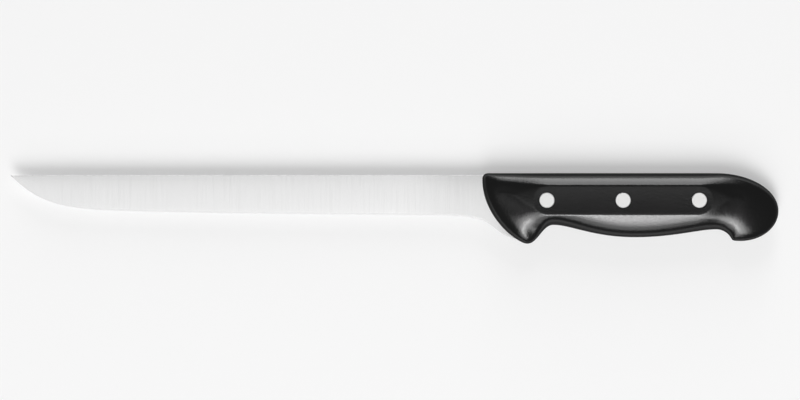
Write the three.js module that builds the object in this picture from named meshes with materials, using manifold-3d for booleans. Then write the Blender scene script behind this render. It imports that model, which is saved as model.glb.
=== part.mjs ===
// Ham knife: a long slicing blade whose hidden tang is riveted between two moulded handle scales.
// Millimetres, +Z up. The knife lies on its side, with its tip towards -X, its butt towards +X and
// its spine towards +Y. Shapes are drawn from the front of the handle: x runs along the knife,
// depth runs down from the handle's straight top, and z starts at the middle plane of the blade.
// A curve's pull is the length over which it keeps the direction it has at that end.

import * as THREE from "three";
import { mergeVertices } from "three/addons/utils/BufferGeometryUtils.js";
import Module from "manifold-3d";

const { Vector2, Vector3, CubicBezierCurve, QuadraticBezierCurve, EllipseCurve } = THREE;
const { lerp, smoothstep, degToRad } = THREE.MathUtils;

// Blade
const bladeLength = 210;
const heelHeight = 17.8;
const spineThickness = 2;
const tipThickness = 1.2;
const tipFadeLength = 3;
const edgeThickness = 0.4;
const bevelHeight = 0.7;
const tipCurveLength = 40;
const tipCurveHeight = 15.4;
const tipAngle = degToRad(44.5);
const tipPull = 13.5;
const tipEndPull = 22.3;
const edgeTilt = degToRad(3);
const edgePull = 30;
const heelFlatLength = 8.6;
const grindRunOut = 12;
const flareLead = 19;
const flareStartPull = 29;
const flareEndAngle = degToRad(16);
const flareEndPull = 17;

// Tang
const tangShoulder = 1.5;
const tangTopCover = 3;
const tangBottomCover = 3.1;
const tangEndCover = 22;
const tangEndTaper = 6;
const tangEndNarrowing = 3;

// Handle outline
const handleLength = 132;
const handleRise = 1;
const frontCornerRadius = 2.6;
const frontDrop = 16.8;
const guardReach = 20.2;
const guardDepth = 31.5;
const guardFrontPull = 5;
const guardRearPull = 4.6;
const guardTipCover = 2.85;
const notchReach = 31.8;
const notchDepth = 23.1;
const notchFrontPull = 5;
const notchRearPull = 7.7;
const bellyDepth = 28.6;
const bellyFrontPull = 18.5;
const bellyRearPull = 17.5;
const neckPull = 8;
const hookRadius = 7.7;
const hookDrop = 5.2;
const hookFromEnd = 20.4;
const hookCornerDepth = 1;
const hookCornerRun = 1.3;
const buttDepth = 30.3;
const buttEndDepth = 16.9;
const buttLowerLength = 17;
const buttUpperLength = 27.7;

// Handle sides
const handleThickness = 16;
const frontThickness = 11;
const buttRoundLength = 22;
const panelFront = 22.7;
const panelFromEnd = 29.3;
const panelCapLength = 7.5;
const upperFlank = 5.5;
const lowerFlank = 4.4;

// Rivets
const rivetEndMargin = 6.1;
const rivetHeadDiameter = 7;
const rivetHeadThickness = 1.45;
const rivetHeadChamfer = 0.25;
const rivetRecess = 0.05;
const sleeveDiameter = 5;
const sleeveEndGap = 2.4;
const boreFloor = 0.5;
const pinDiameter = 3.2;
const pinEndGap = 0.5;

// Clearances
const pocketClearance = 0.1;
const rivetClearance = 0.1;
const pinClearance = 0.05;

// How finely the curves are drawn
const longCurveSteps = 10;
const shortCurveSteps = 6;
const cornerSteps = 3;
const flankSteps = 7;
const roundSides = 28;
const weldDistance = 1e-4;

// How far a cutting shape stands past the face that it opens
const cutOvershoot = 3;

// Places that follow from the sizes above
const handleHalf = handleThickness / 2;
const bladeHalf = spineThickness / 2;
const neckDepth = buttDepth - hookDrop;
const shallowestDepth = Math.min(notchDepth, neckDepth);
const panelEnd = handleLength - panelFromEnd;
const panelTop = upperFlank;
const panelBottom = shallowestDepth - lowerFlank;
const panelMiddle = (panelTop + panelBottom) / 2;
const panelHalfHeight = (panelBottom - panelTop) / 2;
const tangBottom = shallowestDepth - tangBottomCover;
const tangEnd = handleLength - tangEndCover;
const rivetPlaces = {
  front: panelFront + rivetEndMargin,
  middle: (panelFront + panelEnd) / 2,
  rear: panelEnd - rivetEndMargin,
};
const headSeat = handleHalf - rivetRecess - rivetHeadThickness;

// A point at a distance from another one, along a direction that falls by the given angle
function pointFrom(start, distance, angle) {
  return new Vector2(start.x + distance * Math.cos(angle), start.y + distance * Math.sin(angle));
}

// A smooth bend between two level ends
function levelBend(start, startPull, end, endPull) {
  const leaving = new Vector2(start.x + startPull, start.y);
  const arriving = new Vector2(end.x - endPull, end.y);
  return new CubicBezierCurve(start, leaving, arriving, end);
}

// The points of several curves in a row, without the doubled points where they join
function tracePath(curvesAndSteps) {
  return curvesAndSteps.flatMap(([curve, steps], index) => curve.getPoints(steps).slice(index ? 1 : 0));
}

// Depth of a traced line at a place along the knife
function depthAt(path, x) {
  const found = path.findIndex((point) => point.x >= x);
  if (found === 0) return path[0].y;
  if (found < 0) return path[path.length - 1].y;
  const before = path[found - 1];
  const after = path[found];
  return lerp(before.y, after.y, (x - before.x) / (after.x - before.x));
}

// Lower outline of the handle: front and guard, finger notch, belly, neck, hook and butt
function traceHandleBottom() {
  const front = new Vector2(0, frontCornerRadius);
  const guardTip = new Vector2(guardReach, guardDepth);
  const notch = new Vector2(notchReach, notchDepth);
  const hookSweep = Math.acos(1 - (hookDrop - hookCornerDepth) / hookRadius);
  const hookCornerX = handleLength - hookFromEnd;
  const hookEndX = hookCornerX - hookCornerDepth / Math.tan(hookSweep);
  const neck = new Vector2(hookEndX - hookRadius * Math.sin(hookSweep), neckDepth);
  const belly = new Vector2((notch.x + neck.x) / 2, bellyDepth);
  const frontCurve = new CubicBezierCurve(
    front,
    new Vector2(front.x, front.y + frontDrop),
    new Vector2(guardTip.x - guardFrontPull, guardTip.y),
    guardTip,
  );
  const levelAngle = -Math.PI / 2;
  const hookCentre = neck.y + hookRadius;
  const hookArc = new EllipseCurve(
    neck.x, hookCentre, hookRadius, hookRadius, levelAngle, levelAngle + hookSweep, false,
  );
  const buttCentreX = handleLength - buttLowerLength;
  const buttStart = Math.acos((hookCornerX + hookCornerRun - buttCentreX) / buttLowerLength);
  const buttArc = new EllipseCurve(
    buttCentreX, buttEndDepth, buttLowerLength, buttDepth - buttEndDepth, buttStart, 0, true,
  );
  const buttStartPoint = buttArc.getPoint(0);
  const hookCorner = new QuadraticBezierCurve(
    hookArc.getPoint(1),
    new Vector2(hookCornerX, buttStartPoint.y),
    buttStartPoint,
  );
  return tracePath([
    [frontCurve, longCurveSteps],
    [levelBend(guardTip, guardRearPull, notch, notchFrontPull), longCurveSteps],
    [levelBend(notch, notchRearPull, belly, bellyFrontPull), shortCurveSteps],
    [levelBend(belly, bellyRearPull, neck, neckPull), shortCurveSteps],
    [hookArc, shortCurveSteps],
    [hookCorner, cornerSteps],
    [buttArc, longCurveSteps],
  ]);
}

const handleBottom = traceHandleBottom();

// Upper outline of the handle: rounded front corner, straight top and the long round of the butt
function handleTopDepth(x) {
  if (x < frontCornerRadius) {
    return frontCornerRadius - Math.sqrt(frontCornerRadius ** 2 - (frontCornerRadius - x) ** 2);
  }
  const overrun = Math.max(0, x - (handleLength - buttUpperLength)) / buttUpperLength;
  return buttEndDepth * (1 - Math.sqrt(Math.max(0, 1 - overrun ** 2)));
}

// Lower edge of the blade, from the tip through the long edge to the heel that follows the guard
function traceBladeBottom() {
  const tip = new Vector2(-bladeLength, handleRise);
  const tipCurveEnd = new Vector2(tip.x + tipCurveLength, tip.y + tipCurveHeight);
  const tipCurve = new CubicBezierCurve(
    tip,
    pointFrom(tip, tipPull, tipAngle),
    pointFrom(tipCurveEnd, -tipEndPull, edgeTilt),
    tipCurveEnd,
  );
  const flareStart = new Vector2(-flareLead, handleRise + heelHeight);
  const edgeBow = pointFrom(tipCurveEnd, edgePull, edgeTilt);
  const edgeCurve = new QuadraticBezierCurve(tipCurveEnd, edgeBow, flareStart);
  const heelTilt = Math.atan2(flareStart.y - edgeBow.y, flareStart.x - edgeBow.x);
  const flareEndX = guardReach - guardTipCover;
  const flareEnd = new Vector2(flareEndX, depthAt(handleBottom, flareEndX));
  const flareCurve = new CubicBezierCurve(
    flareStart,
    pointFrom(flareStart, flareStartPull, heelTilt),
    pointFrom(flareEnd, -flareEndPull, flareEndAngle),
    flareEnd,
  );
  return tracePath([
    [tipCurve, longCurveSteps],
    [edgeCurve, longCurveSteps],
    [flareCurve, longCurveSteps],
  ]);
}

const bladeEdge = traceBladeBottom();
const flareEnd = bladeEdge[bladeEdge.length - 1];

// The steel's whole outline: the spine steps down to the tang inside the handle, and behind the
// guard the heel slopes back up to the tang at 45 degrees
const steelTop = [
  new Vector2(-bladeLength, handleRise),
  new Vector2(tangShoulder, handleRise),
  new Vector2(tangShoulder + tangTopCover - handleRise, tangTopCover),
  new Vector2(tangEnd - tangEndTaper, tangTopCover),
  new Vector2(tangEnd, tangTopCover + tangEndNarrowing),
];
const steelBottom = [
  ...bladeEdge,
  new Vector2(flareEnd.x + flareEnd.y - tangBottom, tangBottom),
  new Vector2(tangEnd - tangEndTaper, tangBottom),
  new Vector2(tangEnd, tangBottom - tangEndNarrowing),
];

// A closed skin over rings of points that run anticlockwise as seen from +X, in order along X
function loftRings(rings) {
  const count = rings[0].length;
  const last = (rings.length - 1) * count;
  const triangles = [];
  for (let start = 0; start < last; start += count) {
    for (let place = 0; place < count; place += 1) {
      const here = start + place;
      const next = start + ((place + 1) % count);
      triangles.push(here, next, here + count, next, next + count, here + count);
    }
  }
  for (let place = 1; place + 1 < count; place += 1) {
    triangles.push(0, place + 1, place);
    triangles.push(last, last + place, last + place + 1);
  }
  const geometry = new THREE.BufferGeometry().setFromPoints(rings.flat());
  geometry.setIndex(triangles);
  return geometry;
}

const manifold = await Module();
manifold.setup();

// A solid ready for cutting: doubled points are merged and the triangles that vanish are dropped
function toSolid(geometry) {
  const bare = geometry.clone();
  bare.deleteAttribute("normal");
  bare.deleteAttribute("uv");
  const merged = mergeVertices(bare, weldDistance);
  const corners = merged.index.array;
  const kept = [];
  for (let start = 0; start < corners.length; start += 3) {
    const [first, second, third] = corners.slice(start, start + 3);
    if (first !== second && second !== third && third !== first) kept.push(first, second, third);
  }
  return new manifold.Manifold(new manifold.Mesh({
    numProp: 3,
    vertProperties: new Float32Array(merged.attributes.position.array),
    triVerts: new Uint32Array(kept),
  }));
}

function toGeometry(solid) {
  const mesh = solid.getMesh();
  const geometry = new THREE.BufferGeometry();
  geometry.setAttribute("position", new THREE.BufferAttribute(mesh.vertProperties, 3));
  geometry.setIndex(new THREE.BufferAttribute(mesh.triVerts, 1));
  geometry.computeVertexNormals();
  return geometry;
}

// Round holes along Z between two heights, one at each rivet
function cutAtRivets(solid, radius, oneEnd, otherEnd) {
  let rest = solid;
  for (const x of Object.values(rivetPlaces)) {
    const cutter = new THREE.CylinderGeometry(radius, radius, Math.abs(otherEnd - oneEnd), roundSides);
    cutter.rotateX(Math.PI / 2);
    cutter.translate(x, -panelMiddle, (oneEnd + otherEnd) / 2);
    rest = rest.subtract(toSolid(cutter));
  }
  return rest;
}

// The rivet shanks' holes, which go right through
function cutShankHoles(solid) {
  const reach = handleHalf + cutOvershoot;
  return cutAtRivets(solid, sleeveDiameter / 2 + rivetClearance, -reach, reach);
}

// Half the steel's thickness at the spine: it thins towards the tip and comes to a point there
function spineHalf(x) {
  const fromTip = x + bladeLength;
  const thickening = Math.min(1, fromTip / (bladeLength - heelFlatLength));
  const pointing = Math.sqrt(Math.min(1, fromTip / tipFadeLength));
  return pointing * lerp(tipThickness, spineThickness, thickening) / 2;
}

// Half the thickness just above the sharpened bevel: ground thin, and full again at the heel
function shoulderHalf(x) {
  const spine = spineHalf(x);
  const ground = Math.min(spine, edgeThickness / 2);
  return lerp(ground, spine, smoothstep(x, -heelFlatLength - grindRunOut, -heelFlatLength));
}

function bladeSection(x) {
  const top = depthAt(steelTop, x);
  const bottom = depthAt(steelBottom, x);
  const bevel = x > flareEnd.x ? 0 : Math.min(bevelHeight, (bottom - top) / 2);
  const spine = spineHalf(x);
  const shoulder = shoulderHalf(x);
  return [
    new Vector3(x, -top, -spine),
    new Vector3(x, -top, spine),
    new Vector3(x, bevel - bottom, shoulder),
    new Vector3(x, -bottom, 0),
    new Vector3(x, bevel - bottom, -shoulder),
  ];
}

// Blade and tang are one strip of steel between its two outlines, with three rivet holes
function makeBlade() {
  const places = [...steelTop, ...steelBottom].map((point) => point.x);
  const stations = [...new Set(places)].sort((left, right) => left - right);
  return cutShankHoles(toSolid(loftRings(stations.map(bladeSection))));
}

// The pocket that the tang and the heel lie in, open at the front of the handle
function makePocket() {
  const rear = tangEnd + pocketClearance;
  const inHandle = (point) => point.x > -cutOvershoot;
  const top = steelTop.filter(inHandle).map((point) => new Vector2(point.x, pocketClearance - point.y));
  const bottom = steelBottom.filter(inHandle).map(
    (point) => new Vector2(point.x, -pocketClearance - point.y),
  );
  const outline = new THREE.Shape([
    new Vector2(-cutOvershoot, pocketClearance - handleRise),
    ...top,
    new Vector2(rear, pocketClearance - steelTop.at(-1).y),
    new Vector2(rear, -pocketClearance - steelBottom.at(-1).y),
    ...bottom.reverse(),
    new Vector2(-cutOvershoot, -pocketClearance - depthAt(steelBottom, -cutOvershoot)),
  ]);
  const half = bladeHalf + pocketClearance;
  const pocket = new THREE.ExtrudeGeometry(outline, { depth: 2 * half, bevelEnabled: false });
  pocket.translate(0, 0, -half);
  return toSolid(pocket);
}

// Depth of the handle's highest line: the panel's middle, drifting to mid-height at both ends
function ridgeDepth(x) {
  const middle = (handleTopDepth(x) + depthAt(handleBottom, x)) / 2;
  const onPanel = smoothstep(x, 0, panelFront) * (1 - smoothstep(x, panelEnd, handleLength));
  return lerp(middle, panelMiddle, onPanel);
}

// Height of that line above the middle plane: level on the panel, lower and rounded at the front,
// and a quarter ellipse at the butt
function ridgeHeight(x) {
  if (x < panelFront) {
    const lean = (handleHalf - frontThickness / 2) * (1 - x / panelFront) ** 2;
    const rounding = 1 - Math.min(1, x / frontCornerRadius);
    return (handleHalf - lean) * Math.sqrt(1 - rounding ** 2);
  }
  const overrun = Math.max(0, x - (handleLength - buttRoundLength)) / buttRoundLength;
  return handleHalf * Math.sqrt(Math.max(0, 1 - overrun ** 2));
}

// Half the height of the flat panel, which ends in half ellipses
function panelHalfAt(x) {
  const fromEnd = Math.min(x - panelFront, panelEnd - x, panelCapLength);
  if (fromEnd <= 0) return 0;
  return panelHalfHeight * Math.sqrt(1 - (1 - fromEnd / panelCapLength) ** 2);
}

// One flank of a scale: part of a quarter ellipse, from the panel's border down to the outline
function flankPoints(x, ridge, reach, side) {
  const start = reach === 0 ? 0 : Math.asin(Math.min(1, panelHalfAt(x) / Math.abs(reach)));
  const swell = ridgeHeight(x) / Math.cos(start);
  return Array.from({ length: flankSteps + 1 }, (_, step) => {
    const angle = lerp(start, Math.PI / 2, step / flankSteps);
    return new Vector3(x, -ridge - reach * Math.sin(angle), side * swell * Math.cos(angle));
  });
}

function scaleSection(x, side) {
  const ridge = ridgeDepth(x);
  const upper = flankPoints(x, ridge, handleTopDepth(x) - ridge, side);
  const lower = flankPoints(x, ridge, depthAt(handleBottom, x) - ridge, side);
  const ring = [...upper.reverse(), ...lower];
  return side > 0 ? ring : ring.reverse();
}

// One half of the handle on the given side of the blade, with its pocket and its rivet seats
function makeScale(side) {
  const capSteps = Array.from({ length: shortCurveSteps + 1 }, (_, step) => step / shortCurveSteps);
  const capPlaces = capSteps.map((share) => panelCapLength * (1 - Math.cos(share * Math.PI / 2)));
  const places = [
    ...handleBottom.map((point) => point.x),
    ...capPlaces.map((place) => panelFront + place),
    ...capPlaces.map((place) => panelEnd - place),
  ];
  const stations = [...new Set(places)].sort((left, right) => left - right);
  const body = toSolid(loftRings(stations.map((x) => scaleSection(x, side)))).subtract(makePocket());
  const seatRadius = rivetHeadDiameter / 2 + rivetClearance;
  const seatFloor = side * (headSeat - rivetClearance);
  const seatMouth = side * (handleHalf + cutOvershoot);
  return cutShankHoles(cutAtRivets(body, seatRadius, seatFloor, seatMouth));
}

// A turned piece along Z at one rivet's place, from its outline of radius and height
function turnedPiece(outline, x) {
  const profile = outline.map(([radius, height]) => new Vector2(radius, height));
  const piece = new THREE.LatheGeometry(profile, roundSides);
  piece.rotateX(Math.PI / 2);
  piece.translate(x, -panelMiddle, 0);
  return piece;
}

// Female half of a rivet: flat head below, tube above with a blind bore
function makeSleeve(x) {
  const face = rivetRecess - handleHalf;
  const headRadius = rivetHeadDiameter / 2;
  const boreRadius = pinDiameter / 2 + pinClearance;
  const tubeEnd = headSeat - sleeveEndGap;
  return turnedPiece([
    [0, face],
    [headRadius - rivetHeadChamfer, face],
    [headRadius, face + rivetHeadChamfer],
    [headRadius, -headSeat],
    [sleeveDiameter / 2, -headSeat],
    [sleeveDiameter / 2, tubeEnd],
    [boreRadius, tubeEnd],
    [boreRadius, boreFloor - headSeat],
    [0, boreFloor - headSeat],
  ], x);
}

// Male half of a rivet: flat head above, pin below in the sleeve's bore
function makePin(x) {
  const face = handleHalf - rivetRecess;
  const headRadius = rivetHeadDiameter / 2;
  const pinEnd = boreFloor - headSeat + pinEndGap;
  return turnedPiece([
    [0, pinEnd],
    [pinDiameter / 2, pinEnd],
    [pinDiameter / 2, headSeat],
    [headRadius, headSeat],
    [headRadius, face - rivetHeadChamfer],
    [headRadius - rivetHeadChamfer, face],
    [0, face],
  ], x);
}

const stainlessSteel = { color: 0xd6d8da, roughness: 0.28, metalness: 1 };
const blackPlastic = { color: 0x1b1b1c, roughness: 0.4, metalness: 0 };
const rivetAluminium = { color: 0xe2e3e4, roughness: 0.3, metalness: 1 };

const knife = new THREE.Group();

function addPiece(name, geometry, finish) {
  const piece = new THREE.Mesh(geometry, new THREE.MeshStandardMaterial(finish));
  piece.name = name;
  knife.add(piece);
}

addPiece("blade", toGeometry(makeBlade()), stainlessSteel);
addPiece("left_scale", toGeometry(makeScale(1)), blackPlastic);
addPiece("right_scale", toGeometry(makeScale(-1)), blackPlastic);
for (const [place, x] of Object.entries(rivetPlaces)) {
  addPiece(`rivet_sleeve_${place}`, makeSleeve(x), rivetAluminium);
  addPiece(`rivet_pin_${place}`, makePin(x), rivetAluminium);
}

// The knife lies on its lower panel, centred over the origin
knife.position.set(
  (bladeLength - handleLength) / 2,
  Math.max(guardDepth, buttDepth) / 2,
  handleHalf,
);

export default knife;
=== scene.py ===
"""A ham knife lying on a pale floor, seen from straight above.

Shapes are worked out in millimetres from the front of the handle, as on the drawing of the knife: x runs
towards the butt, depth runs down from the handle's straight top, and z starts at the blade's middle plane.
"""

from math import comb, cos, gamma, pi, radians, sin, sqrt, tan

import bmesh
import bpy
import numpy as np
from mathutils import Euler, Matrix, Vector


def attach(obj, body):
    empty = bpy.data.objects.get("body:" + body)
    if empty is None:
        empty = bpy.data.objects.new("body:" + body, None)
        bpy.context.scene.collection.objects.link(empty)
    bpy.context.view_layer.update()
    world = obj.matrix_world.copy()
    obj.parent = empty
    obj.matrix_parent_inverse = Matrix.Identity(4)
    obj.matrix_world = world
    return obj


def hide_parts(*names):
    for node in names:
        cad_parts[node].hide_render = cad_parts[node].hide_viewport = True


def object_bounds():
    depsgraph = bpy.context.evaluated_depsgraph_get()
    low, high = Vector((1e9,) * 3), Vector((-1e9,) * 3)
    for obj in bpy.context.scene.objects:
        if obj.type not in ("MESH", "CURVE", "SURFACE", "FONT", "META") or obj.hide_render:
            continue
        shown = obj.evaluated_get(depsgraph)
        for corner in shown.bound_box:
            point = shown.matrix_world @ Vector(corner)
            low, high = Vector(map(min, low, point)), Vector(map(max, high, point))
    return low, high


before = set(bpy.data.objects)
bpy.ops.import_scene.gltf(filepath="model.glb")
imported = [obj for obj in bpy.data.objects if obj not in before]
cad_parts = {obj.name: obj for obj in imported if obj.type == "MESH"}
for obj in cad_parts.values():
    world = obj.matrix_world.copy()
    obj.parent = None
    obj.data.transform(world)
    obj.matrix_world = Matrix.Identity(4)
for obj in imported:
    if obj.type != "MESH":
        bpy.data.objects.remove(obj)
cad_low, cad_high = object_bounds()

# Blade, in millimetres
BLADE_LENGTH = 210.0
HEEL_HEIGHT = 17.8
SPINE_THICKNESS = 2.0
TIP_THICKNESS = 1.2
TIP_FADE_LENGTH = 0.8
SPINE_ROUNDING = 0.03
EDGE_THICKNESS = 0.153
GRIND_BOW = 0.5
BEVEL_HEIGHT = 0.7
CUTTING_EDGE_THICKNESS = 0.04
TIP_CURVE_LENGTH = 40.0
TIP_CURVE_HEIGHT = 15.4
TIP_ANGLE = radians(44.5)
TIP_PULL = 13.5
TIP_END_PULL = 22.3
EDGE_TILT = radians(3)
EDGE_PULL = 30.0
HEEL_FLAT_LENGTH = 8.6
HEEL_FLATNESS = 0.45
GRIND_RUN_OUT = 30.0
FLARE_LEAD = 19.0
FLARE_START_PULL = 29.0
FLARE_END_ANGLE = radians(16)
FLARE_END_PULL = 17.0

# Tang
TANG_SHOULDER = 1.5
TANG_TOP_COVER = 3.0
TANG_BOTTOM_COVER = 3.1
TANG_END_COVER = 22.0
TANG_END_TAPER = 6.0
TANG_END_NARROWING = 3.0

# Handle outline
HANDLE_LENGTH = 132.0
HANDLE_RISE = 1.0
FRONT_CORNER_RADIUS = 2.6
FRONT_DROP = 16.8
GUARD_REACH = 20.2
GUARD_DEPTH = 31.5
GUARD_FRONT_PULL = 5.0
GUARD_REAR_PULL = 4.6
GUARD_TIP_COVER = 2.85
NOTCH_REACH = 31.8
NOTCH_DEPTH = 23.1
NOTCH_FRONT_PULL = 5.0
NOTCH_REAR_PULL = 7.7
BELLY_DEPTH = 28.6
BELLY_FRONT_PULL = 18.5
BELLY_REAR_PULL = 17.5
NECK_PULL = 8.0
HOOK_RADIUS = 7.7
HOOK_DROP = 5.2
HOOK_FROM_END = 20.4
HOOK_CORNER_DEPTH = 1.0
HOOK_CORNER_RUN = 1.3
BUTT_DEPTH = 30.3
BUTT_END_DEPTH = 16.9
BUTT_LOWER_LENGTH = 17.0
BUTT_UPPER_LENGTH = 27.7

# Handle sides
HANDLE_THICKNESS = 16.0
PANEL_FRONT = 22.7
PANEL_FROM_END = 29.3
PANEL_SINK = 0.1
UPPER_FLANK = 5.5
LOWER_FLANK = 4.4
FLANK_POWER = 2.4
TONGUE_LENGTH = 18.0
TONGUE_FRONT = 8.0
TONGUE_FRONT_LIFT = 0.7
TONGUE_FROM_END = 17.0
TONGUE_REAR_LIFT = 0.3
TONGUE_EASE = 0.8
GUARD_RIDGE_SHIFT = 2.6
GUARD_RIDGE_FADE = 5.0
ROOF_SLOPE = 0.085
ROOF_BOW = 0.001
RIDGE_LIFT = 0.3
ARRIS_BLEND = 0.16
END_BLEND = 0.08
JOINT_ROUNDING = 0.15

# Rivets
RIVET_END_MARGIN = 6.1
RIVET_HEAD_DIAMETER = 7.0
RIVET_HEAD_THICKNESS = 1.45
RIVET_HEAD_CHAMFER = 0.25
RIVET_RECESS = 0.1
SLEEVE_DIAMETER = 5.0
SLEEVE_END_GAP = 2.4
BORE_FLOOR = 0.5
PIN_DIAMETER = 3.2
PIN_END_GAP = 0.5

# Clearances
POCKET_CLEARANCE = 0.1
RIVET_CLEARANCE = 0.1
PIN_CLEARANCE = 0.05
CUT_OVERSHOOT = 3.0

# How finely the surfaces are drawn
CURVE_STEPS = 40
FLANK_STEPS = 22
FLANK_STEP_POWER = 1.3
PANEL_STEPS = 14
PANEL_END_STEPS = 24
LEAST_PANEL_SHARE = 0.25
GRIND_STEPS = 14
BEVEL_STEPS = 3
TIP_STEPS = 8
STEEL_STATIONS = 160
ROUNDING_STEPS = 4
ROUND_SIDES = 96
OUTLINE_STEP = 0.3
RIDGE_POWER = 3
RIDGE_BLEND_START = 0.45
RIDGE_BLEND_END = 0.9
STEEL_CREASE_ANGLE = 1.2
CREASE_ANGLE = 30.0
WELD_DISTANCE = 1e-7
TINY = 1e-9

# Sizes of the materials' patterns, in millimetres
STEEL_LINE_WIDTH = 0.5
STEEL_LINE_LENGTH = 20.0
STEEL_LINE_DEPTH = 0.05
HONED_GRAIN = 0.4
PLASTIC_GRAIN = 0.7
PLASTIC_GRAIN_DEPTH = 0.04
PLASTIC_WAVE = 14.0
PLASTIC_WAVE_DEPTH = 0.04
SCRATCH_LENGTH = 2.5
SCRATCH_WIDTH = 0.25
SCRATCH_DEPTH = 0.03

# The photograph's frame: its size in pixels, where the handle's front and top lie, and millimetres a pixel
IMAGE_WIDTH = 800
IMAGE_HEIGHT = 400
HANDLE_FRONT_PIXEL = 482.1
HANDLE_TOP_PIXEL = 173.1
PIXEL_SIZE = 0.4454

# Camera, floor and room: the sensor in millimetres, the rest in metres and as radiance
SENSOR_WIDTH = 36.0
CAMERA_DISTANCE = 6.0
CAMERA_RANGE = 100.0
FLOOR_SIZE = 40.0
FLOOR_GLOW = 0.36
LIGHT_DISTANCE = 4.0
ROOM_LIGHT = 0.1
ROOM_GLOW = 0.14

# Places that follow from the sizes above
MM = 0.001
HANDLE_HALF = HANDLE_THICKNESS / 2
NECK_DEPTH = BUTT_DEPTH - HOOK_DROP
SHALLOWEST_DEPTH = min(NOTCH_DEPTH, NECK_DEPTH)
PANEL_END = HANDLE_LENGTH - PANEL_FROM_END
PANEL_MIDDLE = (UPPER_FLANK + SHALLOWEST_DEPTH - LOWER_FLANK) / 2
PANEL_HALF_HEIGHT = PANEL_MIDDLE - UPPER_FLANK
TANG_BOTTOM = SHALLOWEST_DEPTH - TANG_BOTTOM_COVER
TANG_END = HANDLE_LENGTH - TANG_END_COVER
HEAD_SEAT = HANDLE_HALF - RIVET_RECESS - RIVET_HEAD_THICKNESS
RIVET_PLACES = {
    "front": PANEL_FRONT + RIVET_END_MARGIN,
    "middle": (PANEL_FRONT + PANEL_END) / 2,
    "rear": PANEL_END - RIVET_END_MARGIN,
}
handle_front_x = cad_high.x - HANDLE_LENGTH * MM
handle_top_y = cad_high.y
middle_z = (cad_low.z + cad_high.z) / 2


def to_frame(x, depth, z):
    """Points of the drawing, as metres in the knife's frame."""
    x, depth, z = np.broadcast_arrays(x, depth, z)
    return np.stack([handle_front_x + x * MM, handle_top_y - depth * MM, middle_z + z * MM], axis=-1)


def bezier(*points):
    """Points on a Bezier curve: the control points' sum, each times its Bernstein weight."""
    t = np.linspace(0, 1, CURVE_STEPS + 1)[:, None]
    degree = len(points) - 1
    weights = [comb(degree, i) * t**i * (1 - t) ** (degree - i) for i in range(degree + 1)]
    return sum(weight * np.array(point) for weight, point in zip(weights, points))


def level_bend(start, start_pull, end, end_pull):
    """A cubic curve that leaves one point level and arrives level at another."""
    return bezier(start, (start[0] + start_pull, start[1]), (end[0] - end_pull, end[1]), end)


def ellipse_arc(centre, radii, start, end):
    """Points on an ellipse between two angles, which run from +x towards more depth."""
    angle = np.linspace(start, end, CURVE_STEPS + 1)
    return np.stack([centre[0] + radii[0] * np.cos(angle), centre[1] + radii[1] * np.sin(angle)], axis=1)


def point_from(start, distance, angle):
    """The point at a distance from another one, along a direction that falls by an angle."""
    return start[0] + distance * cos(angle), start[1] + distance * sin(angle)


def join_curves(*curves):
    """Curves in a row as one line, without the doubled points where they meet."""
    return np.concatenate([curves[0]] + [curve[1:] for curve in curves[1:]])


def depth_at(line, x):
    """Depth of a line of points at places along the knife."""
    return np.interp(x, line[:, 0], line[:, 1])


def smooth_step(x, start, end):
    """Rises from 0 to 1 between two places, level at both: 3t^2 - 2t^3."""
    t = np.clip((x - start) / (end - start), 0, 1)
    return t * t * (3 - 2 * t)


def smooth_min(first, second, blend):
    """The lower of two heights, with the corner between them rounded over the given height."""
    blend = np.maximum(blend, TINY)
    closeness = np.maximum(blend - np.abs(first - second), 0) / blend
    return np.minimum(first, second) - closeness**2 * blend / 4


def handle_bottom_line():
    """Front and guard, finger notch, belly, neck, hook and butt, as one line of Bezier curves and arcs."""
    guard_tip = (GUARD_REACH, GUARD_DEPTH)
    notch = (NOTCH_REACH, NOTCH_DEPTH)
    sweep = np.arccos(1 - (HOOK_DROP - HOOK_CORNER_DEPTH) / HOOK_RADIUS)
    corner_x = HANDLE_LENGTH - HOOK_FROM_END
    neck_x = corner_x - HOOK_CORNER_DEPTH / tan(sweep) - HOOK_RADIUS * sin(sweep)
    neck = (neck_x, NECK_DEPTH)
    belly = ((NOTCH_REACH + neck_x) / 2, BELLY_DEPTH)
    front = bezier(
        (0, FRONT_CORNER_RADIUS),
        (0, FRONT_CORNER_RADIUS + FRONT_DROP),
        (GUARD_REACH - GUARD_FRONT_PULL, GUARD_DEPTH),
        guard_tip,
    )
    hook_centre = (neck_x, NECK_DEPTH + HOOK_RADIUS)
    hook = ellipse_arc(hook_centre, (HOOK_RADIUS, HOOK_RADIUS), -pi / 2, sweep - pi / 2)
    butt_x = HANDLE_LENGTH - BUTT_LOWER_LENGTH
    butt_start = np.arccos((corner_x + HOOK_CORNER_RUN - butt_x) / BUTT_LOWER_LENGTH)
    butt = ellipse_arc(
        (butt_x, BUTT_END_DEPTH), (BUTT_LOWER_LENGTH, BUTT_DEPTH - BUTT_END_DEPTH), butt_start, 0
    )
    return join_curves(
        front,
        level_bend(guard_tip, GUARD_REAR_PULL, notch, NOTCH_FRONT_PULL),
        level_bend(notch, NOTCH_REAR_PULL, belly, BELLY_FRONT_PULL),
        level_bend(belly, BELLY_REAR_PULL, neck, NECK_PULL),
        hook,
        bezier(hook[-1], (corner_x, butt[0, 1]), butt[0]),
        butt,
    )


def handle_top_depth(x):
    """A quarter circle at the front corner, the straight top, and a quarter ellipse over the butt."""
    before = 1 - np.clip(x / FRONT_CORNER_RADIUS, 0, 1)
    after = np.clip((x - HANDLE_LENGTH) / BUTT_UPPER_LENGTH + 1, 0, 1)
    front_corner = FRONT_CORNER_RADIUS * (1 - np.sqrt(1 - before**2))
    return front_corner + BUTT_END_DEPTH * (1 - np.sqrt(1 - after**2))


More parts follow.
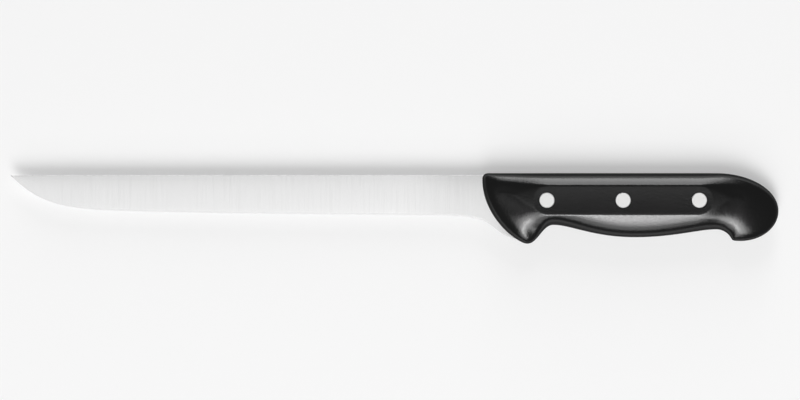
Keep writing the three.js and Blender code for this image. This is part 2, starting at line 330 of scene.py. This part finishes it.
def handle_outline_line():
    """The handle's whole outline in even steps: along its bottom to the butt and back along its top."""
    back = handle_bottom[::-1, 0]
    top = np.stack([back, handle_top_depth(back)], axis=1)
    line = join_curves(handle_bottom, top)
    run = np.append(0, np.cumsum(np.hypot(*np.diff(line, axis=0).T)))
    even = np.linspace(0, run[-1], int(run[-1] / OUTLINE_STEP))
    return np.stack([np.interp(even, run, line[:, 0]), np.interp(even, run, line[:, 1])], axis=1)


handle_bottom = handle_bottom_line()
handle_outline = handle_outline_line()


def blade_edge_line():
    """Tip curve, long edge and the heel that sweeps down along the guard, as Bezier curves."""
    tip = (-BLADE_LENGTH, HANDLE_RISE)
    tip_end = (tip[0] + TIP_CURVE_LENGTH, tip[1] + TIP_CURVE_HEIGHT)
    edge_bow = point_from(tip_end, EDGE_PULL, EDGE_TILT)
    flare_start = (-FLARE_LEAD, HANDLE_RISE + HEEL_HEIGHT)
    heel_tilt = np.arctan2(flare_start[1] - edge_bow[1], flare_start[0] - edge_bow[0])
    flare_end_x = GUARD_REACH - GUARD_TIP_COVER
    flare_end = (flare_end_x, float(depth_at(handle_bottom, flare_end_x)))
    return join_curves(
        bezier(
            tip,
            point_from(tip, TIP_PULL, TIP_ANGLE),
            point_from(tip_end, -TIP_END_PULL, EDGE_TILT),
            tip_end,
        ),
        bezier(tip_end, edge_bow, flare_start),
        bezier(
            flare_start,
            point_from(flare_start, FLARE_START_PULL, heel_tilt),
            point_from(flare_end, -FLARE_END_PULL, FLARE_END_ANGLE),
            flare_end,
        ),
    )


blade_edge = blade_edge_line()
flare_end_x, flare_end_depth = blade_edge[-1]

# The steel's upper and lower outlines, from the tip to the end of the tang
steel_top = np.array([
    (-BLADE_LENGTH, HANDLE_RISE),
    (TANG_SHOULDER, HANDLE_RISE),
    (TANG_SHOULDER + TANG_TOP_COVER - HANDLE_RISE, TANG_TOP_COVER),
    (TANG_END - TANG_END_TAPER, TANG_TOP_COVER),
    (TANG_END, TANG_TOP_COVER + TANG_END_NARROWING),
])
steel_bottom = np.concatenate([
    blade_edge,
    [
        (flare_end_x + flare_end_depth - TANG_BOTTOM, TANG_BOTTOM),
        (TANG_END - TANG_END_TAPER, TANG_BOTTOM),
        (TANG_END, TANG_BOTTOM - TANG_END_NARROWING),
    ],
])


def ring_faces(rows, columns):
    """Quads of a grid of rows whose columns close into rings, and a face over each open end."""
    here = np.arange(rows * columns).reshape(rows, columns)
    beside = np.roll(here, -1, axis=1)
    quads = np.stack([here[:-1], beside[:-1], beside[1:], here[1:]], axis=-1).reshape(-1, 4)
    return quads.tolist() + [here[0, ::-1].tolist(), here[-1].tolist()]


def make_mesh(name, grid):
    """A closed mesh over a grid of rings, with its poles welded and its faces pointing outwards."""
    rows, columns = grid.shape[:2]
    mesh = bpy.data.meshes.new(name)
    mesh.from_pydata(grid.reshape(-1, 3), [], ring_faces(rows, columns))
    work = bmesh.new()
    work.from_mesh(mesh)
    bmesh.ops.remove_doubles(work, verts=work.verts, dist=WELD_DISTANCE)
    bmesh.ops.recalc_face_normals(work, faces=work.faces)
    work.to_mesh(mesh)
    work.free()
    return mesh


def make_object(mesh):
    """An object for a mesh, standing at the origin."""
    made = bpy.data.objects.new(mesh.name, mesh)
    bpy.context.scene.collection.objects.link(made)
    return made


def cut_away(piece, cutter):
    """Takes the cutter's volume out of a piece for good, and removes the cutter."""
    cut = piece.modifiers.new("cut", "BOOLEAN")
    cut.operation = "DIFFERENCE"
    cut.solver = "EXACT"
    cut.object = cutter
    whole = bpy.context.evaluated_depsgraph_get()
    old_mesh = piece.data
    piece.data = bpy.data.meshes.new_from_object(piece.evaluated_get(whole))
    piece.data.name = old_mesh.name
    piece.modifiers.clear()
    bpy.data.meshes.remove(old_mesh)
    bpy.data.meshes.remove(cutter.data)


def turned_grid(outline, x):
    """A profile of radius and height turned round a rivet's axis: each point goes round a circle."""
    outline = np.array(outline)
    angle = np.linspace(0, 2 * pi, ROUND_SIDES, endpoint=False)
    radius, height = outline[:, :1], outline[:, 1:]
    return to_frame(x + radius * np.cos(angle), PANEL_MIDDLE + radius * np.sin(angle), height)


def finish_piece(piece, node, materials, crease_angle=CREASE_ANGLE):
    """Shades a piece smooth with crisp edges, gives it its materials and ties it to the knife."""
    for material in materials:
        piece.data.materials.append(material)
    piece.data.shade_smooth()
    piece.data.set_sharp_from_angle(angle=radians(crease_angle))
    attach(piece, "root")
    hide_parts(node)


def srgb(code):
    """A hex colour as the linear RGBA that shaders take."""
    value = np.array([int(code[i:i + 2], 16) for i in (1, 3, 5)]) / 255
    linear = np.where(value <= 0.04045, value / 12.92, ((value + 0.055) / 1.055) ** 2.4)
    return (*linear.tolist(), 1.0)


def add_node(tree, kind, values=(), links=(), **settings):
    """Adds a node with its settings, the values of its inputs and the outputs linked to them."""
    node = tree.nodes.new(kind)
    for name, setting in settings.items():
        setattr(node, name, setting)
    for name, value in dict(values).items():
        node.inputs[name].default_value = value
    for name, output in dict(links).items():
        tree.links.new(output, node.inputs[name])
    return node


def new_material(name):
    """An empty node material and its output node."""
    material = bpy.data.materials.new(name)
    material.use_nodes = True
    material.node_tree.nodes.clear()
    return material, material.node_tree, add_node(material.node_tree, "ShaderNodeOutputMaterial")


def ground_stainless_steel():
    """Stainless strip ground across the blade: fine lines from spine to edge, which smear what the steel
    mirrors along its length and leave it clear from spine to edge. Real grinding lines are far finer than a
    pixel, so they are drawn coarser and very faint."""
    material, tree, output = new_material("ground_stainless_steel")
    place = add_node(tree, "ShaderNodeTexCoord").outputs["Object"]
    across = 1 / (STEEL_LINE_WIDTH * MM)
    along = 1 / (STEEL_LINE_LENGTH * MM)
    lines = add_node(tree, "ShaderNodeMapping", {"Scale": (across, along, along)}, {"Vector": place})
    grit = add_node(
        tree, "ShaderNodeTexNoise", {"Scale": 1.0, "Detail": 3.0, "Roughness": 0.6},
        {"Vector": lines.outputs["Vector"]},
    )
    tone = add_node(
        tree, "ShaderNodeMapRange", {"From Min": 0.48, "From Max": 0.72}, {"Value": grit.outputs["Fac"]}
    )
    colour = add_node(
        tree, "ShaderNodeMix", {"A": srgb("#E9E9E9"), "B": srgb("#E6E6E6")},
        {"Factor": tone.outputs["Result"]}, data_type="RGBA",
    )
    roughness = add_node(
        tree, "ShaderNodeMapRange", {"To Min": 0.173, "To Max": 0.192}, {"Value": grit.outputs["Fac"]}
    )
    bump = add_node(
        tree, "ShaderNodeBump", {"Strength": 0.015, "Distance": STEEL_LINE_DEPTH * MM},
        {"Height": grit.outputs["Fac"]},
    )
    tangent = add_node(tree, "ShaderNodeTangent", direction_type="UV_MAP", uv_map="along_blade")
    shader = add_node(
        tree, "ShaderNodeBsdfPrincipled", {"Metallic": 1.0, "Anisotropic": 0.7},
        {
            "Base Color": colour.outputs["Result"],
            "Roughness": roughness.outputs["Result"],
            "Normal": bump.outputs["Normal"],
            "Tangent": tangent.outputs["Tangent"],
        },
    )
    tree.links.new(shader.outputs["BSDF"], output.inputs["Surface"])
    return material


def honed_edge_steel():
    """The narrow sharpened bevel: honed finer than the sides, so it is a brighter line along the edge."""
    material, tree, output = new_material("honed_edge_steel")
    place = add_node(tree, "ShaderNodeTexCoord").outputs["Object"]
    grit = add_node(
        tree, "ShaderNodeTexNoise", {"Scale": 1 / (HONED_GRAIN * MM), "Detail": 2.0}, {"Vector": place}
    )
    roughness = add_node(
        tree, "ShaderNodeMapRange", {"To Min": 0.1, "To Max": 0.15}, {"Value": grit.outputs["Fac"]}
    )
    shader = add_node(
        tree, "ShaderNodeBsdfPrincipled", {"Metallic": 1.0, "Base Color": srgb("#DEDEDE")},
        {"Roughness": roughness.outputs["Result"]},
    )
    tree.links.new(shader.outputs["BSDF"], output.inputs["Surface"])
    return material


def moulded_polypropylene():
    """Black polypropylene from a finely spark-eroded mould: satin, with a grain that breaks up highlights
    and broad shallow waves from shrinking. Seen edge-on the grain hides the gloss, so the surface turns
    dull there. The real grain is finer than a pixel and is drawn coarser."""
    material, tree, output = new_material("moulded_polypropylene")
    place = add_node(tree, "ShaderNodeTexCoord").outputs["Object"]
    grain = add_node(
        tree, "ShaderNodeTexNoise", {"Scale": 1 / (PLASTIC_GRAIN * MM), "Detail": 2.0, "Roughness": 0.6},
        {"Vector": place},
    )
    cloud = add_node(
        tree, "ShaderNodeTexNoise", {"Scale": 1 / (PLASTIC_WAVE * MM), "Detail": 2.0}, {"Vector": place}
    )
    colour = add_node(
        tree, "ShaderNodeMix", {"A": srgb("#040404"), "B": srgb("#080808")},
        {"Factor": cloud.outputs["Fac"]}, data_type="RGBA",
    )
    smoothness = add_node(
        tree, "ShaderNodeMapRange", {"From Min": 0.35, "From Max": 0.65, "To Min": 0.13, "To Max": 0.2},
        {"Value": grain.outputs["Fac"]},
    )
    edge_on = add_node(tree, "ShaderNodeLayerWeight", {"Blend": 0.5})
    haze = add_node(
        tree, "ShaderNodeMapRange", {"From Min": 0.3, "From Max": 0.5, "To Min": 0.0, "To Max": 0.8},
        {"Value": edge_on.outputs["Facing"]},
    )
    roughness = add_node(
        tree, "ShaderNodeMath", {}, {0: smoothness.outputs["Result"], 1: haze.outputs["Result"]},
        operation="ADD",
    )
    waves = add_node(
        tree, "ShaderNodeBump", {"Strength": 1.0, "Distance": PLASTIC_WAVE_DEPTH * MM},
        {"Height": cloud.outputs["Fac"]},
    )
    bump = add_node(
        tree, "ShaderNodeBump", {"Strength": 1.0, "Distance": PLASTIC_GRAIN_DEPTH * MM},
        {"Height": grain.outputs["Fac"], "Normal": waves.outputs["Normal"]},
    )
    shader = add_node(
        tree, "ShaderNodeBsdfPrincipled", {"IOR": 1.46},
        {
            "Base Color": colour.outputs["Result"],
            "Roughness": roughness.outputs["Value"],
            "Normal": bump.outputs["Normal"],
        },
    )
    tree.links.new(shader.outputs["BSDF"], output.inputs["Surface"])
    return material


def ground_aluminium():
    """Aluminium rivet, ground flush: a pale satin disc with faint scratches."""
    material, tree, output = new_material("ground_aluminium")
    place = add_node(tree, "ShaderNodeTexCoord").outputs["Object"]
    along = 1 / (SCRATCH_LENGTH * MM)
    across = 1 / (SCRATCH_WIDTH * MM)
    scratches = add_node(tree, "ShaderNodeMapping", {"Scale": (along, across, along)}, {"Vector": place})
    grit = add_node(
        tree, "ShaderNodeTexNoise", {"Scale": 1.0, "Detail": 2.0}, {"Vector": scratches.outputs["Vector"]}
    )
    roughness = add_node(
        tree, "ShaderNodeMapRange", {"To Min": 0.25, "To Max": 0.34}, {"Value": grit.outputs["Fac"]}
    )
    bump = add_node(
        tree, "ShaderNodeBump", {"Strength": 0.02, "Distance": SCRATCH_DEPTH * MM},
        {"Height": grit.outputs["Fac"]},
    )
    shader = add_node(
        tree, "ShaderNodeBsdfPrincipled", {"Metallic": 1.0, "Base Color": srgb("#E6E6E5")},
        {"Roughness": roughness.outputs["Result"], "Normal": bump.outputs["Normal"]},
    )
    tree.links.new(shader.outputs["BSDF"], output.inputs["Surface"])
    return material


def looking_rays(tree):
    """1 for rays from the camera and from mirroring or clear surfaces, 0 for light falling on something."""
    rays = add_node(tree, "ShaderNodeLightPath").outputs
    seen = add_node(
        tree, "ShaderNodeMath", {}, {0: rays["Is Camera Ray"], 1: rays["Is Glossy Ray"]},
        operation="MAXIMUM",
    )
    looked_at = add_node(
        tree, "ShaderNodeMath", {}, {0: seen.outputs["Value"], 1: rays["Is Transmission Ray"]},
        operation="MAXIMUM",
    )
    return looked_at.outputs["Value"]


def floor_paper():
    """Pale grey seamless paper, matt. A faint glow of its own, which only the camera and mirroring
    surfaces see, makes it nearly white and its shadow soft without more light on the knife."""
    material, tree, output = new_material("floor_paper")
    glow = add_node(tree, "ShaderNodeMath", {1: FLOOR_GLOW}, {0: looking_rays(tree)}, operation="MULTIPLY")
    shader = add_node(
        tree, "ShaderNodeBsdfPrincipled",
        {
            "Base Color": srgb("#C4C4C4"), "Roughness": 0.9, "Specular IOR Level": 0.0,
            "Emission Color": (1, 1, 1, 1),
        },
        {"Emission Strength": glow.outputs["Value"]},
    )
    tree.links.new(shader.outputs["BSDF"], output.inputs["Surface"])
    return material


def blade_half_profile(x):
    """One side of the blade at places along it, from the middle of the spine to the cutting edge: the flat
    spine, its rounded corner, the bowed grind w = shoulder + (spine - shoulder)(1 - h)(1 + bow h) down to
    the shoulder, and the straight bevel to the edge. Towards the heel the grind runs out by a share, and
    inside the handle the rest of it, so that the tang is flat and square."""
    top = depth_at(steel_top, x)
    bottom = depth_at(steel_bottom, x)
    height = bottom - top
    from_tip = x + BLADE_LENGTH
    thickening = np.clip(from_tip / (BLADE_LENGTH - HEEL_FLAT_LENGTH), 0, 1)
    pointing = np.sqrt(np.clip(from_tip / TIP_FADE_LENGTH, 0, 1))
    at_heel = smooth_step(x, -HEEL_FLAT_LENGTH - GRIND_RUN_OUT, -HEEL_FLAT_LENGTH)
    at_tang = smooth_step(x, 0, GUARD_REACH)
    run_out = HEEL_FLATNESS * at_heel + (1 - HEEL_FLATNESS) * at_tang
    bevel = np.where(x > flare_end_x, 0, np.minimum(BEVEL_HEIGHT, height / 2))
    ground = pointing * EDGE_THICKNESS / 2
    full = (TIP_THICKNESS + (SPINE_THICKNESS - TIP_THICKNESS) * thickening) / 2
    share = np.clip((height - bevel) / (TIP_CURVE_HEIGHT - BEVEL_HEIGHT), 0, 1)
    spine = ground + (full - ground) * share
    shoulder = ground + (spine - ground) * run_out
    rounding = np.minimum(SPINE_ROUNDING, np.minimum(height / 5, spine / 2))
    quarter = np.linspace(0, pi / 2, ROUNDING_STEPS + 1)
    corner_depth = top + rounding * (1 - np.cos(quarter))
    corner_z = spine - rounding * (1 - np.sin(quarter))
    h = np.linspace(0, 1, GRIND_STEPS + 1)[1:]
    grind_depth = top + rounding + (height - rounding - bevel) * h
    grind_z = shoulder + (spine - shoulder) * (1 - h) * (1 + GRIND_BOW * h)
    edge = shoulder - pointing * (EDGE_THICKNESS - CUTTING_EDGE_THICKNESS) / 2
    b = np.linspace(0, 1, BEVEL_STEPS + 1)[1:]
    bevel_depth = bottom - bevel * (1 - b)
    bevel_z = shoulder + (edge - shoulder) * b
    depth = np.concatenate([corner_depth, grind_depth, bevel_depth], axis=1)
    return depth, np.concatenate([corner_z, grind_z, bevel_z], axis=1)


def mark_blade(mesh):
    """Gives the steel a UV map of its x and y, for the grinding's direction, and the bevel its material."""
    corner = np.empty(len(mesh.loops), int)
    mesh.loops.foreach_get("vertex_index", corner)
    point = np.empty(len(mesh.vertices) * 3)
    mesh.vertices.foreach_get("co", point)
    uv = mesh.uv_layers.new(name="along_blade")
    uv.data.foreach_set("uv", point.reshape(-1, 3)[corner, :2].ravel())
    middle = np.empty(len(mesh.polygons) * 3)
    mesh.polygons.foreach_get("center", middle)
    middle = middle.reshape(-1, 3)
    x = (middle[:, 0] - handle_front_x) / MM
    from_edge = depth_at(steel_bottom, x) - (handle_top_y - middle[:, 1]) / MM
    on_bevel = (from_edge < BEVEL_HEIGHT) & (x < flare_end_x)
    mesh.polygons.foreach_set("material_index", on_bevel.astype(int))


def make_blade():
    """Blade and tang: the half profile and its mirror image, carried along the steel's two outlines."""
    tip = np.linspace(0, TIP_FADE_LENGTH, TIP_STEPS + 1) - BLADE_LENGTH
    even = np.linspace(-BLADE_LENGTH, TANG_END, STEEL_STATIONS)
    x = np.unique(np.concatenate([steel_top[:, 0], steel_bottom[:, 0], tip, even]))
    depth, z = blade_half_profile(x[:, None])
    depth = np.concatenate([depth, depth[:, ::-1]], axis=1)
    z = np.concatenate([z, -z[:, ::-1]], axis=1)
    blade = make_object(make_mesh("blade_and_tang", to_frame(x[:, None], depth, z)))
    radius = SLEEVE_DIAMETER / 2 + RIVET_CLEARANCE
    reach = HANDLE_HALF + CUT_OVERSHOOT
    for place in RIVET_PLACES.values():
        cutter = make_object(make_mesh("cutter", turned_grid([(radius, -reach), (radius, reach)], place)))
        cut_away(blade, cutter)
    mark_blade(blade.data)
    finish_piece(blade, "blade", [steel, edge_steel], STEEL_CREASE_ANGLE)


def outline_distance(points):
    """Distance from points to the handle's outline: the nearest one close to it, and further in an inverse
    power mean over the whole outline, which rounds the ridges where two stretches are equally near."""
    start = handle_outline[:-1]
    step = handle_outline[1:] - start
    length = np.hypot(*step.T)
    offset = points[:, None] - start
    along = np.clip((offset * step).sum(axis=2) / length**2, 0, 1)
    gap = np.hypot(*np.moveaxis(offset - along[..., None] * step, 2, 0))
    nearest = gap.min(axis=1)
    weight = gamma(RIDGE_POWER / 2) / (sqrt(pi) * gamma((RIDGE_POWER - 1) / 2))
    total = (weight * length * np.maximum(gap, OUTLINE_STEP) ** -RIDGE_POWER).sum(axis=1)
    mean = total ** (1 / (1 - RIDGE_POWER))
    return nearest + (mean - nearest) * smooth_step(nearest, RIDGE_BLEND_START, RIDGE_BLEND_END)


def beyond_ends(x, front, rear):
    """How far places lie ahead of one place along the handle, or behind another one."""
    return np.maximum(np.maximum(front - x, x - rear), 0)


def beyond_panel(x):
    """How far places lie beyond the centres of the panel's two round ends."""
    return beyond_ends(x, PANEL_FRONT + PANEL_HALF_HEIGHT, PANEL_END - PANEL_HALF_HEIGHT)


def distance_rows(x, depth):
    """Distances from a grid of points to the handle's outline, worked out a row at a time."""
    return np.array([outline_distance(row) for row in np.stack([x, depth], axis=2)])


def scale_height(x, depth):
    """Half thickness of the handle. The roof is the panel, sunk a little in its middle, and falls away
    round the panel's ends. From there a tongue of it runs on and narrows, half = panel half times
    exp(-(run / length)^2). The flanks hang from the tongue's borders as quarter ellipses,
    (z / roof)^n = (R^n - r^n) / (R^n - e^n), in which r grows from e at the border to R at the outline.
    The corner between roof and flank is rounded. On the guard the distance to the outline is read a
    little further back, so that its ridge lies forward."""
    beyond = beyond_panel(x)
    from_centre = np.hypot(beyond, depth - PANEL_MIDDLE) / PANEL_HALF_HEIGHT
    outside = np.maximum(from_centre - 1, 0) * PANEL_HALF_HEIGHT
    sink = PANEL_SINK * np.maximum(1 - from_centre**2, 0)
    roof = HANDLE_HALF - sink - ROOF_SLOPE * outside - ROOF_BOW * outside**2
    half = PANEL_HALF_HEIGHT * np.exp(-(beyond / TONGUE_LENGTH) ** 2)
    lift = np.where(x < HANDLE_LENGTH / 2, TONGUE_FRONT_LIFT, TONGUE_REAR_LIFT)
    middle = PANEL_MIDDLE - lift * (PANEL_HALF_HEIGHT - half)
    past = beyond_ends(x, TONGUE_FRONT, HANDLE_LENGTH - TONGUE_FROM_END)
    radius = np.maximum(np.hypot(past, depth - middle), TINY)
    start = half * (1 - TONGUE_EASE * (past / radius) ** 2)
    inner = np.maximum(start + radius - half, 0)
    gap = distance_rows(x, depth)
    forward = smooth_step(gap, 0, GUARD_RIDGE_FADE) * (1 - smooth_step(x, GUARD_REACH, NOTCH_REACH))
    gap = distance_rows(x + GUARD_RIDGE_SHIFT * forward, depth)
    reach = inner + gap
    n = FLANK_POWER
    share = ((reach**n - inner**n) / np.maximum(reach**n - start**n, TINY)) ** (1 / n)
    share = np.minimum(share, 2) + RIDGE_LIFT * (np.maximum(half - radius, 0) / PANEL_HALF_HEIGHT) ** 2
    blend = np.minimum(ARRIS_BLEND + END_BLEND * beyond, HANDLE_HALF * share) / HANDLE_HALF
    return roof * smooth_min(1, share, blend)


def scale_grid(side):
    """Outside of one scale: its height over a grid of stations along the handle and points across it."""
    rounds = np.linspace(0, PANEL_HALF_HEIGHT, PANEL_END_STEPS + 1)
    panel_ends = np.append(PANEL_FRONT + rounds, PANEL_END - PANEL_HALF_HEIGHT + rounds)
    x = np.unique(np.append(handle_bottom[:, 0], panel_ends))[:, None]
    top = handle_top_depth(x)
    bottom = depth_at(handle_bottom, x)
    on_panel = smooth_step(x, 0, PANEL_FRONT) * (1 - smooth_step(x, PANEL_END, HANDLE_LENGTH))
    middle = (top + bottom) / 2
    ridge = middle + (PANEL_MIDDLE - middle) * on_panel
    panel = np.sqrt(np.maximum(PANEL_HALF_HEIGHT**2 - beyond_panel(x) ** 2, 0))
    t = np.linspace(0, 1, FLANK_STEPS + 1) ** FLANK_STEP_POWER
    across = []
    for reach in (ridge - top, bottom - ridge):
        reach = np.maximum(reach, TINY)
        border = np.arcsin(np.minimum(np.maximum(panel, LEAST_PANEL_SHARE * reach) / reach, 1))
        across.append(reach * np.sin(border + (pi / 2 - border) * t))
    upper, lower = across
    s = 0.5 - 0.5 * np.cos(pi * np.linspace(0, 1, PANEL_STEPS + 1)[1:-1])
    u = np.concatenate([-upper[:, ::-1], -upper[:, :1] + (upper[:, :1] + lower[:, :1]) * s, lower], axis=1)
    z = scale_height(np.broadcast_to(x, u.shape), ridge + u)
    z[:, [0, -1]] = 0
    reach = np.where(u < 0, ridge - top, bottom - ridge)
    rounding = np.maximum(np.minimum(JOINT_ROUNDING, reach / 4), TINY)
    low = np.clip(1 - z / rounding, 0, 1)
    u = u - np.sign(u) * rounding * (1 - np.sqrt(1 - low**2))
    return to_frame(x, ridge + u, side * z)


def pocket_mesh():
    """The room for the tang and the heel: the steel's outlines with clearance, as a flat slab."""
    inside = np.concatenate([[-CUT_OVERSHOOT], steel_bottom[steel_bottom[:, 0] > -CUT_OVERSHOOT, 0]])
    inside = np.unique(np.concatenate([inside, steel_top[1:, 0]]))[:, None]
    inside = np.append(inside, [[TANG_END + POCKET_CLEARANCE]], axis=0)
    top = depth_at(steel_top, inside) - POCKET_CLEARANCE
    bottom = depth_at(steel_bottom, inside) + POCKET_CLEARANCE
    half = SPINE_THICKNESS / 2 + POCKET_CLEARANCE
    depth = np.concatenate([top, top, bottom, bottom], axis=1)
    return make_mesh("pocket", to_frame(inside, depth, np.array([-half, half, half, -half])))


def make_scale(name, side):
    """One half of the handle, with the tang's pocket and the rivets' stepped seats cut out."""
    scale = make_object(make_mesh(name + "_shell", scale_grid(side)))
    cut_away(scale, make_object(pocket_mesh()))
    head = RIVET_HEAD_DIAMETER / 2 + RIVET_CLEARANCE
    shank = SLEEVE_DIAMETER / 2 + RIVET_CLEARANCE
    floor = side * (HEAD_SEAT - RIVET_CLEARANCE)
    mouth = side * (HANDLE_HALF + CUT_OVERSHOOT)
    for place in RIVET_PLACES.values():
        outline = [(shank, -side * CUT_OVERSHOOT), (shank, floor), (head, floor), (head, mouth)]
        cut_away(scale, make_object(make_mesh("cutter", turned_grid(outline, place))))
    finish_piece(scale, name, [plastic])


def make_rivets():
    """Each rivet's two halves, turned from their outlines: a headed pin above, in a headed sleeve below."""
    head = RIVET_HEAD_DIAMETER / 2
    bore = PIN_DIAMETER / 2 + PIN_CLEARANCE
    face = HANDLE_HALF - RIVET_RECESS
    rim = RIVET_HEAD_CHAMFER
    sleeve_outline = [
        (0, -face),
        (head - rim, -face),
        (head, rim - face),
        (head, -HEAD_SEAT),
        (SLEEVE_DIAMETER / 2, -HEAD_SEAT),
        (SLEEVE_DIAMETER / 2, HEAD_SEAT - SLEEVE_END_GAP),
        (bore, HEAD_SEAT - SLEEVE_END_GAP),
        (bore, BORE_FLOOR - HEAD_SEAT),
        (0, BORE_FLOOR - HEAD_SEAT),
    ]
    pin_end = BORE_FLOOR - HEAD_SEAT + PIN_END_GAP
    pin_outline = [
        (0, pin_end),
        (PIN_DIAMETER / 2, pin_end),
        (PIN_DIAMETER / 2, HEAD_SEAT),
        (head, HEAD_SEAT),
        (head, face - rim),
        (head - rim, face),
        (0, face),
    ]
    for where, x in RIVET_PLACES.items():
        for half, outline in (("sleeve", sleeve_outline), ("pin", pin_outline)):
            piece = make_object(make_mesh(f"turned_{half}_{where}", turned_grid(outline, x)))
            finish_piece(piece, f"rivet_{half}_{where}", [aluminium])


def make_camera():
    """Looks straight down through a long lens, with the knife as large as in the photograph."""
    data = bpy.data.cameras.new("camera")
    data.sensor_width = SENSOR_WIDTH
    data.lens = SENSOR_WIDTH * CAMERA_DISTANCE / (IMAGE_WIDTH * PIXEL_SIZE * MM)
    data.clip_end = CAMERA_RANGE
    camera = bpy.data.objects.new("camera", data)
    x = (IMAGE_WIDTH / 2 - HANDLE_FRONT_PIXEL) * PIXEL_SIZE
    depth = (IMAGE_HEIGHT / 2 - HANDLE_TOP_PIXEL) * PIXEL_SIZE
    camera.location = to_frame(x, depth, CAMERA_DISTANCE / MM)
    bpy.context.scene.collection.objects.link(camera)
    bpy.context.scene.camera = camera


def make_floor():
    """A wide flat sheet that the knife's lower panel lies on."""
    half = FLOOR_SIZE / 2
    corners = np.array([(-half, -half), (half, -half), (half, half), (-half, half)])
    mesh = bpy.data.meshes.new("floor")
    mesh.from_pydata(np.column_stack([corners, np.full(4, cad_low.z)]), [], [(0, 1, 2, 3)])
    mesh.materials.append(floor_paper())
    make_object(mesh)


def make_softbox(name, lean_from, lean_to, turned, width, radiance, roll=0):
    """A soft lamp far off, aimed at the knife. It reaches from one angle off the zenith to another, towards
    -Y, is turned round towards +X, and its width is an angle as the knife sees it. The roll turns it about
    its own axis. All angles are in degrees."""
    lean = radians((lean_from + lean_to) / 2)
    turn = radians(turned)
    data = bpy.data.lights.new(name, "AREA")
    data.shape = "RECTANGLE"
    data.size = 2 * LIGHT_DISTANCE * tan(radians(width / 2))
    data.size_y = 2 * LIGHT_DISTANCE * tan(radians(abs(lean_to - lean_from) / 2))
    data.energy = radiance * pi * data.size * data.size_y
    lamp = bpy.data.objects.new(name, data)
    direction = np.array([sin(lean) * sin(turn), -sin(lean) * cos(turn), cos(lean)])
    lamp.location = LIGHT_DISTANCE * direction
    aim = Euler((lean, 0, turn)).to_matrix() @ Matrix.Rotation(radians(roll), 3, "Z")
    lamp.rotation_euler = aim.to_euler()
    lamp.visible_camera = False
    bpy.context.scene.collection.objects.link(lamp)


def make_light():
    """Studio light: a dim bank overhead and a brighter one in front of it, which the flat steel and panel
    mirror, a softbox in front with a bright core, another to its side, a dimmer skirt below them, a window
    and its sill behind, and a grey room."""
    make_softbox("overhead_bank", -14, 1.0, 0, 32, 0.13)
    make_softbox("front_bank", 1.0, 14, 0, 32, 0.8)
    make_softbox("front_box", 15.5, 52, 11, 17.5, 8.4)
    make_softbox("front_core", 15.5, 42, 1, 6, 10.5)
    make_softbox("side_box", 22, 52, -12, 13, 4.8, roll=12)
    make_softbox("front_skirt", 52, 68, -6, 30, 2.5)
    make_softbox("rear_window", -48, -68, -4, 18, 5.0)
    make_softbox("rear_sill", -68, -92, -4, 18, 6.2)
    world = bpy.data.worlds.new("grey_room")
    world.use_nodes = True
    tree = world.node_tree
    strength = add_node(
        tree, "ShaderNodeMath", {1: ROOM_GLOW, 2: ROOM_LIGHT}, {0: looking_rays(tree)},
        operation="MULTIPLY_ADD",
    )
    background = tree.nodes["Background"]
    background.inputs["Color"].default_value = (1, 1, 1, 1)
    tree.links.new(strength.outputs["Value"], background.inputs["Strength"])
    bpy.context.scene.world = world


steel = ground_stainless_steel()
edge_steel = honed_edge_steel()
plastic = moulded_polypropylene()
aluminium = ground_aluminium()

make_camera()
make_blade()
make_scale("left_scale", 1)
make_scale("right_scale", -1)
make_rivets()
make_floor()
make_light()
bpy.context.scene.view_settings.view_transform = "Standard"
